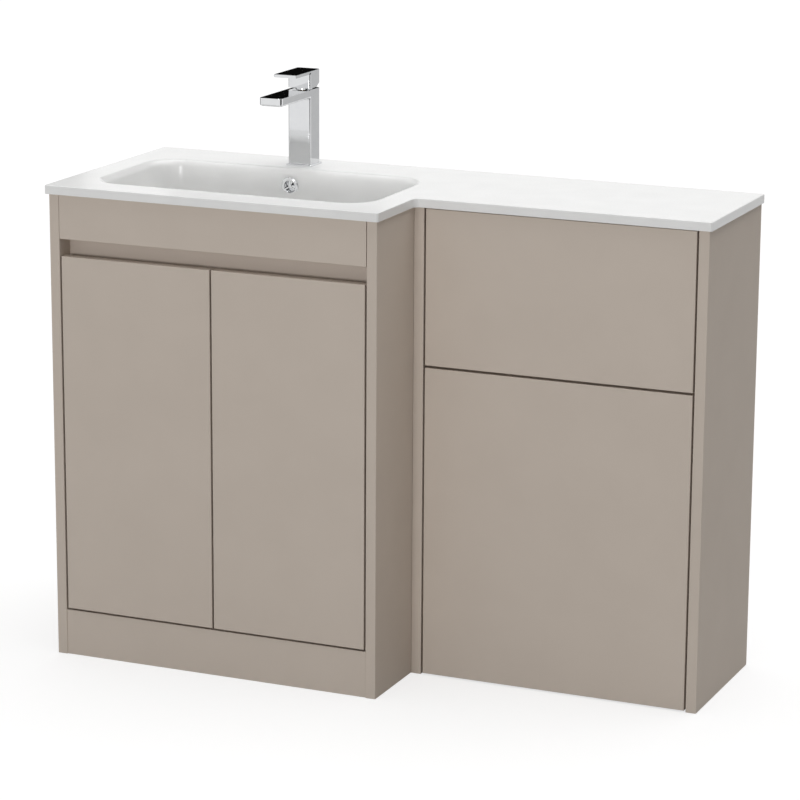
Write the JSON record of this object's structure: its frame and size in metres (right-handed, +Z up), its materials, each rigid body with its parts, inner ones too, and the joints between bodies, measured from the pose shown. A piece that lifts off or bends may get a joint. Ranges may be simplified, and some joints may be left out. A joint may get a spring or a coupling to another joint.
{
  "type": "vanity unit",
  "caption": "L-shaped floor-standing bathroom unit: double-door vanity with a one-piece basin top and a square mixer tap, joined to a shallower unit for a concealed-cistern WC.",
  "frame": {"origin": "middle of the bounding box, on the floor", "axes": "+X along the front to the right, +Y towards the wall, +Z up"},
  "size_m": [1.11, 0.431, 0.979],
  "materials": {
    "painted_board": "satin taupe foil",
    "painted_channel": "satin taupe",
    "hinge_steel": "nickel plated",
    "zinc_steel": "zinc plated",
    "chrome": "polished",
    "brass": "turned",
    "black_rubber": "moulded",
    "nylon": "moulded",
    "mineral_cast": "gloss gel coat, white"
  },
  "bodies": {
    "carcass": {"access_panel_sockets": "nylon", "basin_top": "mineral_cast", "cartridge_collar": "chrome", "cartridge_housing": "nylon", "door_bumpers": "nylon", "fascia_brackets": "zinc_steel", "finger_pull_channel": "painted_channel", "fixing_nuts": "brass", "left_hinge_arms": "hinge_steel", "left_hinge_plates": "hinge_steel", "left_plate_screws": "hinge_steel", "lower_panel_spacers": "painted_board", "overflow_ring": "chrome", "right_hinge_arms": "hinge_steel", "right_hinge_plates": "hinge_steel", "right_plate_screws": "hinge_steel", "shelf_pins": "zinc_steel", "tap_aerator": "nylon", "tap_base_plate": "chrome", "tap_body": "chrome", "tap_clamp_plate": "zinc_steel", "tap_rubber_washer": "black_rubber", "tap_spout": "chrome", "tap_stud": "zinc_steel", "unit_joining_bolts": "zinc_steel", "vanity_back_panel": "painted_board", "vanity_base_board": "painted_board", "vanity_fascia": "painted_board", "vanity_left_side": "painted_board", "vanity_lower_back_rail": "painted_board", "vanity_plinth": "painted_board", "vanity_right_side": "painted_board", "vanity_shelf": "painted_board", "vanity_upper_back_rail": "painted_board", "wall_brackets": "zinc_steel", "waste_body": "chrome", "waste_seals": "black_rubber", "wc_back_rail": "painted_board", "wc_foot_rail": "painted_board", "wc_head_rail": "painted_board", "wc_left_side": "painted_board", "wc_lower_panel": "painted_board", "wc_middle_rail": "painted_board", "wc_right_side": "painted_board"},
    "left_door": {"left_door": "painted_board", "left_hinge_cups": "hinge_steel", "left_hinge_pins": "hinge_steel", "left_cup_screws": "hinge_steel"},
    "right_door": {"right_door": "painted_board", "right_hinge_cups": "hinge_steel", "right_hinge_pins": "hinge_steel", "right_cup_screws": "hinge_steel"},
    "tap_swivel": {"cartridge_carrier": "nylon", "tilt_pin": "zinc_steel"},
    "tap_lever": {"tap_lever": "chrome", "lever_stem": "brass", "lever_grub_screw": "zinc_steel"},
    "plug": {"waste_plug": "chrome"},
    "access_panel": {"wc_access_panel": "painted_board", "access_panel_studs": "nylon"}
  },
  "joints": [
    {"name": "left_door_hinge", "type": "hinge", "parent": "carcass", "child": "left_door", "pos_m": [-0.509, -0.199, 0.389], "axis": [0, 0, -1], "range_deg": [0, 100]},
    {"name": "right_door_hinge", "type": "hinge", "parent": "carcass", "child": "right_door", "pos_m": [0.004, -0.199, 0.389], "axis": [0, 0, 1], "range_deg": [0, 100]},
    {"name": "tap_temperature", "type": "hinge", "parent": "carcass", "child": "tap_swivel", "pos_m": [-0.2525, 0.1545, 0.95], "axis": [0, 0, 1], "range_deg": [-45, 45]},
    {"name": "tap_lift", "type": "hinge", "parent": "tap_swivel", "child": "tap_lever", "pos_m": [-0.2525, 0.1545, 0.95], "axis": [-1, 0, 0], "range_deg": [0, 20]},
    {"name": "plug_slide", "type": "slide", "parent": "carcass", "child": "plug", "axis": [0, 0, 1], "range_m": [0, 0.008]},
    {"name": "access_panel_pull", "type": "slide", "parent": "carcass", "child": "access_panel", "axis": [0, -1, 0], "range_m": [0, 0.1]}
  ]
}
